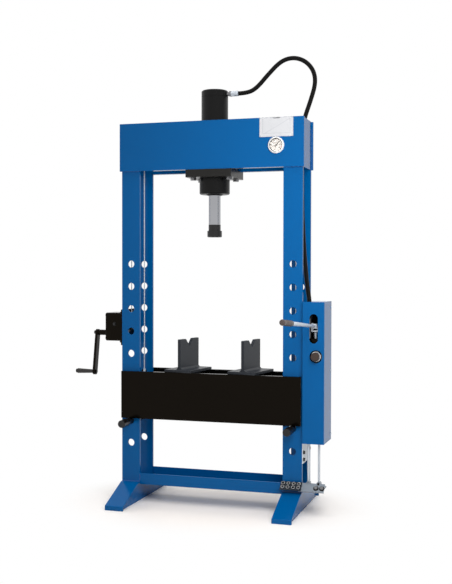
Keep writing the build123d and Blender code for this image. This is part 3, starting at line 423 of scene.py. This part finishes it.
hose_diameter = 0.019
hose_step = 0.0032
hose_sides = 28
hose_lay = 0.0096
hose_swell = 0.003
hose_route = [
    (0.438, -0.055, 0.868),
    (0.438, -0.055, 0.906),
    (0.424, -0.038, 0.964),
    (0.410, -0.018, 1.062),
    (0.397, 0.000, 1.180),
    (0.389, 0.009, 1.310),
    (0.386, 0.016, 1.450),
    (0.387, 0.018, 1.590),
    (0.394, 0.014, 1.686),
    (0.427, 0.006, 1.770),
    (0.449, 0.000, 1.840),
    (0.440, 0.000, 1.895),
    (0.403, 0.000, 1.938),
    (0.350, 0.000, 1.956),
    (0.295, 0.000, 1.943),
    (0.238, 0.000, 1.888),
    (0.187, 0.000, 1.832),
    (0.146, 0.000, 1.813),
    (0.104, 0.000, 1.813),
]
hose_line = spline_points(hose_route)
hose_piece = Piece("hose_tube", rubber, None, "hose_rubber")
hose_points = even_points(hose_line, hose_step)
hose_piece.tube(hose_points, hose_diameter / 2, hose_sides, hose_lay, swell=hose_swell)
hose = hose_piece.done(60)
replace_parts(hose, "hydraulic_hose")
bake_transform(hose)

# Ropes

rope_radius = 2.5 * mm
rope_lay = 34 * mm
rope_step = 2.4 * mm
rope_sides = 18
rope_strands = 6
drop_places = ((-0.340, 0), (0.35025, 0.064))
corner_weight = math.sqrt(0.5)
left_rope = [
    ((-0.4025, 0, 0.79617), 1),
    ((-0.4025, 0, 1.200), 1),
    ((-0.4025, 0, 1.600), 1),
    ((-0.4025, 0, 1.63125), corner_weight),
    ((-0.37125, 0, 1.63125), 1),
    ((-0.340, 0, 1.63125), corner_weight),
    ((-0.340, 0, 1.600), 1),
    ((-0.340, 0, 1.599), 1),
    ((-0.340, 0, 1.598), 1),
]
right_rope = [
    ((-0.3905, 0, 0.79617), 1),
    ((-0.39632, 0.03106, 1.15713), 1),
    ((-0.40215, 0.06211, 1.51808), 1),
    ((-0.4025, 0.064, 1.540), 1),
    ((-0.4025, 0.064, 1.562), 1),
    ((-0.4025, 0.064, 1.581), 1),
    ((-0.4025, 0.064, 1.600), 1),
    ((-0.4025, 0.064, 1.63125), corner_weight),
    ((-0.37125, 0.064, 1.63125), 1),
    ((-0.026, 0.064, 1.63125), 1),
    ((0.319, 0.064, 1.63125), 1),
    ((0.35025, 0.064, 1.63125), corner_weight),
    ((0.35025, 0.064, 1.600), 1),
    ((0.35025, 0.064, 1.599), 1),
    ((0.35025, 0.064, 1.598), 1),
]
ropes = Piece("lift_rope_strands", wire, "frame", "wire_rope")
for rope in (left_rope, right_rope):
    line = spline_points([p for p, _ in rope], [w for _, w in rope], 24)
    ropes.tube(even_points(line, rope_step), rope_radius, rope_sides, rope_lay, rope_strands)
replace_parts(ropes.done(70), "lift_ropes")

drop_top, drop_low, table_travel = 1.598, 0.560, 0.3
drops = Piece("rope_drop_strands", wire, "frame", "wire_rope")
for x, y in drop_places:
    line = [Vector((x, y, drop_top)), Vector((x, y, drop_low))]
    drops.tube(even_points(line, rope_step), rope_radius, rope_sides, rope_lay, rope_strands)
drop_strands = drops.done(70)
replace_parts(drop_strands, "rope_drops")
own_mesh(drop_strands)

# Edges of the plates and castings


def soften(names, width):
    """Rounds the sharp edges of CAD pieces, so that they catch the light."""
    for name in names.split():
        joined = nodes[name].modifiers.new("joined", "WELD")
        joined.merge_threshold = 0.00001
        rounded = nodes[name].modifiers.new("rounded", "BEVEL")
        rounded.width = width
        rounded.segments = 2
        rounded.limit_method = "ANGLE"
        rounded.angle_limit = math.radians(40)
        rounded.use_clamp_overlap = True
        rounded.harden_normals = True


soften("left_front_post left_rear_post right_front_post right_rear_post head_end_plates", 0.4 * mm)
soften("head_front_plate head_rear_plate", 1.0 * mm)
soften("left_foot right_foot base_channel", 2.0 * mm)
soften("table_front_plate table_rear_plate left_v_block right_v_block carriage_lower_plate", 1.4 * mm)

# Gauge and chart

gauge = Vector((0.300, -0.097, 1.568))
dial_start, dial_step, dial_marks = -135, 9, 31
limit_start, limit_step, limit_marks = 90, 5, 9
limit_radius = 24.4 * mm


def on_dial(turn, radius):
    """A point of the dial, by degrees clockwise from the top."""
    angle = math.radians(turn)
    return gauge + Vector((math.sin(angle), 0, math.cos(angle))) * radius


# A dark grey ring where the bezel meets the dial: painted shade of the bezel's inner shadow.
ring = Piece("dial_painted_shade_ring", shade_and_print_grey, "frame", "bezel_metal")
rim = [(26.4 * mm, 0), (28.9 * mm, 0), (28.9 * mm, 1.2 * mm), (26.4 * mm, 0.4 * mm)]
ring.lathe(rim, gauge, to_front, 64, closed=True)
ring.done()
marks = Piece("dial_marks", ink, "frame", "needle_black")
for step in range(dial_marks):
    turn = dial_start + dial_step * step
    long_mark = step % 5 == 0
    inner, width = (20.5 * mm, 0.9 * mm) if long_mark else (22.8 * mm, 0.5 * mm)
    marks.stroke(on_dial(turn, inner), on_dial(turn, 25.4 * mm), width)
    if long_mark:
        marks.figures(str(step * 2), on_dial(turn, 16.2 * mm), 6.2 * mm)
marks.done()
limit = Piece("dial_limit", red_ink, "frame", "needle_black")
for step in range(limit_marks):
    turn = limit_start + limit_step * step
    limit.stroke(on_dial(turn, limit_radius), on_dial(turn + 5.2, limit_radius), 1.6 * mm, 0.0001)
limit.done()

chart_face = -0.097
chart_lines = Piece("chart_lines", chart_grey, "frame", "chart_white")


def chart_line(x0, z0, x1, z1, width):
    """A line on the chart, in millimetres."""
    chart_lines.stroke((x0 * mm, chart_face, z0 * mm), (x1 * mm, chart_face, z1 * mm), width * mm)


chart_border = (
    (227, 1604, 227, 1687),
    (373, 1604, 373, 1687),
    (226, 1605, 374, 1605),
    (226, 1686, 374, 1686),
)
chart_axes = ((240, 1619, 240, 1680), (360, 1619, 360, 1680), (240, 1619, 360, 1619))
for ends in chart_border:
    chart_line(*ends, 2.0)
for ends in chart_axes:
    chart_line(*ends, 1.2)
for step in range(1, 6):
    chart_line(240, 1619 + 10 * step, 243, 1619 + 10 * step, 0.7)
    chart_line(240 + 20 * step, 1619, 240 + 20 * step, 1622, 0.7)
chart_line(250, 1620, 358, 1678, 1.4)
chart_lines.done()
title = Piece("chart_bar", shade_and_print_grey, "frame", "chart_white")
title.stroke((0.285, chart_face, 1.6832), (0.316, chart_face, 1.6832), 2.6 * mm)
title.done()
rivets = Piece("chart_rivets", zinc, "frame", "zinc")
rivet_head = [(2.2 * mm, 0), (2.0 * mm, 0.7 * mm), (1.0 * mm, 1.2 * mm)]
for x in (0.231, 0.369):
    for z in (1.609, 1.682):
        rivets.lathe(rivet_head, (x, chart_face, z), to_front, 20)
rivets.done()

# Bolts and screws

winch_bolts = Piece("winch_bolts", oxide, "frame", "dark_iron")
for y in (-0.078, 0.078):
    for z in (0.716, 0.844):
        winch_bolts.bolt((-0.4195, y, z), to_left, 6 * mm, 6 * mm, washer=False)
for y, z in ((-0.028, 0.727), (-0.028, 0.831), (0.060, 0.727), (0.060, 0.831)):
    winch_bolts.screw((-0.517, y, z), to_left, 5 * mm, 1.5 * mm)
winch_bolts.bolt((-0.470, -0.040, 0.792), to_front, 7 * mm, 5 * mm)
winch_bolts.done()

crank_nuts = Piece("crank_nuts", oxide, "crank", "dark_iron")
crank_nuts.bolt((-0.577, 0, 0.750), to_left, 9 * mm, 8 * mm)
crank_nuts.done()

bracket_bolts = Piece("bracket_bolts", oxide, "frame", "dark_iron")
for y, z in ((-0.074, 0.262), (-0.074, 0.232), (0.034, 0.262)):
    bracket_bolts.bolt((0.4175, y, z), to_right, 7 * mm, 6 * mm)
bracket_bolts.done()

cover_screws = Piece("cover_screws", zinc, "frame", "zinc")
for z in (0.330, 0.604, 0.878):
    cover_screws.screw((0.5115, 0.040, z), to_right, 4.5 * mm, 3 * mm)
cover_screws.done()

# A dark sheet across the back of the pump cover behind the lever slot: painted shade, so that the slot reads
# black.
painted_shade_sheet = Piece("lever_slot_painted_shade_sheet", rubber, "frame", "hose_rubber")
painted_shade_sheet.box((0.4197, 0.036, 0.740), (0.5093, 0.038, 0.9015))
painted_shade_sheet.done()

# The pedal slopes at 45 degrees; along runs up its face and out stands off it

slope = Vector((0, math.sqrt(0.5), math.sqrt(0.5)))
rise = Vector((0, -math.sqrt(0.5), math.sqrt(0.5)))
pedal_foot = Vector((0, -0.120, 0.106))


def on_pedal(x, along, out):
    return pedal_foot + Vector((x, 0, 0)) + slope * along + rise * out


pedal_bolts = Piece("pedal_bolts", steel, "pedal", "machined_steel")
pedal_washers = Piece("pedal_washers", oxide, "pedal", "dark_iron")
for x in (0.479, 0.504):
    pedal_washers.lathe([(11.5 * mm, 0), (11.5 * mm, 1.6 * mm)], on_pedal(x, 0.018, 0), rise, 32)
    pedal_bolts.bolt(on_pedal(x, 0.018, 0.0016), rise, 8 * mm, 6 * mm, washer=False)
pedal_bolts.done()
pedal_washers.done()
# A thin black sheet just behind the tread: painted shade, so that the tread's holes read black.
painted_shade_backing = Piece("tread_painted_shade_sheet", rubber, "pedal", "hose_rubber")
corners = [(0.001, -0.0016), (0.041, -0.0016), (0.041, -0.0002), (0.001, -0.0002)]
painted_shade_backing.loft([[on_pedal(x, along, out) for along, out in corners] for x in (0.3245, 0.4045)])
painted_shade_backing.done()
tread_pitch, tread_middle, tread_crown = (0.023, 0.019), (0.3705, 0.021), 0.008
tread_columns, tread_rows, teeth_per_hole = 4, 2, 8
tooth_circle = 6.4 * mm
# Serrated crowns round the tread's holes, in a white finish brighter than the pedal's own metal: painted
# highlights on the rims.
painted_glint_teeth = Piece("tread_teeth_painted_glints", bezel_white, "pedal", "zinc")
for column in range(tread_columns):
    for row in range(tread_rows):
        x = tread_middle[0] + (column - (tread_columns - 1) / 2) * tread_pitch[0]
        along = tread_middle[1] + (row - (tread_rows - 1) / 2) * tread_pitch[1]
        for step in range(teeth_per_hole):
            angle = 2 * math.pi * (step + 0.5) / teeth_per_hole
            across, up = tooth_circle * math.cos(angle), tooth_circle * math.sin(angle)
            tooth = on_pedal(x + across, along + up, tread_crown)
            painted_glint_teeth.lathe([(1.9 * mm, -0.4 * mm), (0.4 * mm, 2.6 * mm)], tooth, rise, 6)
painted_glint_teeth.done()

# Rope turns on the drum, and the ropes' ends on the table

drum_axis = Vector((0, 0.028, 0.79617))
drum_radius = 25.3 * mm
turn_sides = 10
turn_angles = [2 * math.pi * k / turn_sides for k in range(turn_sides)]
turns = Piece("drum_rope_turns", wire, "drum", "wire_rope")
for x in (-0.4052, -0.4000, -0.3932, -0.3880):
    circle = [(drum_radius + rope_radius * (1 + math.cos(a)), rope_radius * math.sin(a)) for a in turn_angles]
    turns.lathe(circle, drum_axis + Vector((x, 0, 0)), to_right, 40, closed=True)
turns.done()
rope_ends = Piece("rope_end_sleeves", zinc, "table", "zinc")
for x, y in drop_places:
    rope_ends.lathe(
        [(2.9 * mm, 0), (5.0 * mm, 0), (5.0 * mm, 26 * mm), (4.2 * mm, 28 * mm), (2.9 * mm, 28 * mm)],
        (x, y, 0.5602),
        upward,
        20,
        closed=True,
    )
    rope_ends.bolt((x, y, 0.548), (0, 0, -1), 6.5 * mm, 6 * mm)
rope_ends.done()

# Hose end, gland, grips and knob

crimps = Piece("ferrule_crimps", zinc, "carriage", "zinc")
for x in (0.0905, 0.0955, 0.1005):
    crimps.lathe(
        [(10.8 * mm, -1.6 * mm), (11.9 * mm, -0.9 * mm), (11.9 * mm, 0.9 * mm), (10.8 * mm, 1.6 * mm)],
        (x, 0, 1.813),
        to_right,
        28,
        closed=True,
    )
crimps.done()
wiper = Piece("rod_wiper", rubber, "carriage", "hose_rubber")
wiper.lathe(
    [(27.4 * mm, 0), (37 * mm, 0), (37 * mm, -2 * mm), (31 * mm, -5 * mm), (27.4 * mm, -5 * mm)],
    (-0.005, 0, 1.372),
    upward,
    48,
    closed=True,
)
wiper.done()

lever_pivot = Vector((0.466, -0.004, 0.795))
lever_tilt = math.radians(4.42)
lever_way = Vector((0, -math.cos(lever_tilt), math.sin(lever_tilt)))
lever_ribs = Piece("lever_grip_ribs", grip_brown, "lever", "grip_plastic")
for reach in (0.516, *(0.540 + 0.012 * k for k in range(8)), 0.650):
    lever_ribs.lathe(
        [(10.6 * mm, -2.2 * mm), (11.8 * mm, -1.0 * mm), (11.8 * mm, 1.0 * mm), (10.6 * mm, 2.2 * mm)],
        lever_pivot + lever_way * reach,
        lever_way,
        28,
        closed=True,
    )
lever_ribs.done()
knob_x, knob_z = 0.476, 0.674
knob_rib_count, knob_rib_circle = 18, 0.0177
knob_ribs = Piece("knob_ribs", knob_brown, "knob", "knob_plastic")
for step in range(knob_rib_count):
    angle = 2 * math.pi * step / knob_rib_count
    across, up = knob_rib_circle * math.cos(angle), knob_rib_circle * math.sin(angle)
    foot = (knob_x + across, -0.108, knob_z + up)
    knob_ribs.lathe([(1.4 * mm, 0), (1.4 * mm, 15 * mm), (0.6 * mm, 17 * mm)], foot, to_front, 10)
knob_ribs.done()

collar = Piece("knob_collar", bezel_white, "frame", "zinc")
collar.lathe(
    [(18.5 * mm, 0), (21 * mm, 0), (21 * mm, 1.2 * mm), (20.4 * mm, 1.9 * mm), (18.5 * mm, 1.9 * mm)],
    (knob_x, -0.105, knob_z),
    to_front,
    48,
    closed=True,
)
collar.done()

# Welds

welds = Piece("weld_beads", blue_weld, "frame", "blue_paint")
for side in (-1, 1):
    inner, outer = side * 0.3285, side * 0.4135
    for y in (-0.084, 0.084):
        welds.weld((inner, y, 0.0905), (outer, y, 0.0905), 3.5 * mm, 3)
        welds.weld((inner, y, 1.4765), (outer, y, 1.4765), 2.6 * mm, 5)
        welds.weld((outer, y, 1.480), (outer, y, 1.655), 2.4 * mm, 7)
    for y in (-0.083, 0.083):
        welds.weld((inner, y, 0.093), (inner, y, 0.126), 2.6 * mm, 11)
welds.done()

# Floor, light and background

floor_radius = 1.8
fade_start, fade_end = 0.27, 0.58
fade_stretch = (0.75, 1.0, 1.0)
ambient_strength = 0.18
floor_mesh = bmesh.new()
bmesh.ops.create_circle(floor_mesh, cap_ends=True, segments=96, radius=floor_radius)
floor_data = bpy.data.meshes.new("floor")
floor_mesh.to_mesh(floor_data)
floor_mesh.free()
floor = bpy.data.objects.new("floor", floor_data)
bpy.context.scene.collection.objects.link(floor)
floor_material = surface(
    "floor_white", srgb(248, 242, 237), srgb(246, 240, 235), 0.9, 0.02, specular=0.0, bump=0
)
floor_data.materials.append(floor_material)


def link_math(tree, operation, first, second):
    """A maths node on two sockets."""
    node = tree.nodes.new("ShaderNodeMath")
    node.operation = operation
    tree.links.new(first, node.inputs[0])
    tree.links.new(second, node.inputs[1])
    return node.outputs["Value"]


def smooth_step(tree, value, low, high):
    """Zero below a value, one above another, and a smooth rise between."""
    node = tree.nodes.new("ShaderNodeMapRange")
    node.interpolation_type = "SMOOTHSTEP"
    node.inputs["From Min"].default_value = low
    node.inputs["From Max"].default_value = high
    tree.links.new(value, node.inputs["Value"])
    return node.outputs["Result"]


def background_rays(tree):
    """One for the rays that should meet a plain white background."""
    rays = tree.nodes.new("ShaderNodeLightPath")
    seen = link_math(tree, "MAXIMUM", rays.outputs["Is Camera Ray"], rays.outputs["Is Transmission Ray"])
    return link_math(tree, "MAXIMUM", seen, rays.outputs["Is Glossy Ray"])


ground = floor_material.node_tree
place = ground.nodes.new("ShaderNodeTexCoord")
stretch = ground.nodes.new("ShaderNodeMapping")
stretch.inputs["Scale"].default_value = fade_stretch
ground.links.new(place.outputs["Object"], stretch.inputs["Vector"])
reach = ground.nodes.new("ShaderNodeVectorMath")
reach.operation = "LENGTH"
ground.links.new(stretch.outputs["Vector"], reach.inputs[0])
rim_share = smooth_step(ground, reach.outputs["Value"], fade_start, fade_end)
fade = link_math(ground, "MULTIPLY", rim_share, background_rays(ground))
white = ground.nodes.new("ShaderNodeEmission")
white.inputs["Strength"].default_value = 1.0
blend = ground.nodes.new("ShaderNodeMixShader")
ground.links.new(fade, blend.inputs["Fac"])
ground.links.new(ground.nodes["Principled BSDF"].outputs["BSDF"], blend.inputs[1])
ground.links.new(white.outputs["Emission"], blend.inputs[2])
ground.links.new(blend.outputs["Shader"], ground.nodes["Material Output"].inputs["Surface"])


def area_light(name, place, target, width, height, power):
    """A soft lamp that mirrors do not show, so that they show the background."""
    data = bpy.data.lights.new(name, "AREA")
    data.shape = "RECTANGLE"
    data.size, data.size_y = width, height
    data.energy = power
    light = bpy.data.objects.new(name, data)
    light.location = place
    light.rotation_euler = (Vector(target) - Vector(place)).to_track_quat("-Z", "Y").to_euler()
    light.visible_glossy = False
    bpy.context.scene.collection.objects.link(light)


area_light("key_box", (0.95, -1.3, 1.5), (0, 0, 1.0), 1.0, 1.2, 27)
area_light("front_box", (0.4, -4.4, 2.4), (0, 0, 1.1), 2.4, 2.0, 7)
area_light("back_box", (-1.4, 3.0, 2.6), (0, 0, 0.9), 2.4, 2.0, 50)
area_light("left_box", (-3.0, 0.5, 1.6), (0, 0, 0.9), 1.6, 2.0, 30)
area_light("top_box", (0.2, -0.4, 4.4), (0, 0, 0.8), 3.5, 3.0, 95)

world = bpy.data.worlds.new("studio")
bpy.context.scene.world = world
world.use_nodes = True
sky = world.node_tree
background = sky.nodes["Background"]
level = sky.nodes.new("ShaderNodeMix")
level.inputs["A"].default_value = ambient_strength
level.inputs["B"].default_value = 1.0
sky.links.new(background_rays(sky), level.inputs["Factor"])
sky.links.new(level.outputs["Result"], background.inputs["Strength"])
background.inputs["Color"].default_value = (1, 1, 1, 1)

bpy.context.scene.view_settings.view_transform = "Standard"
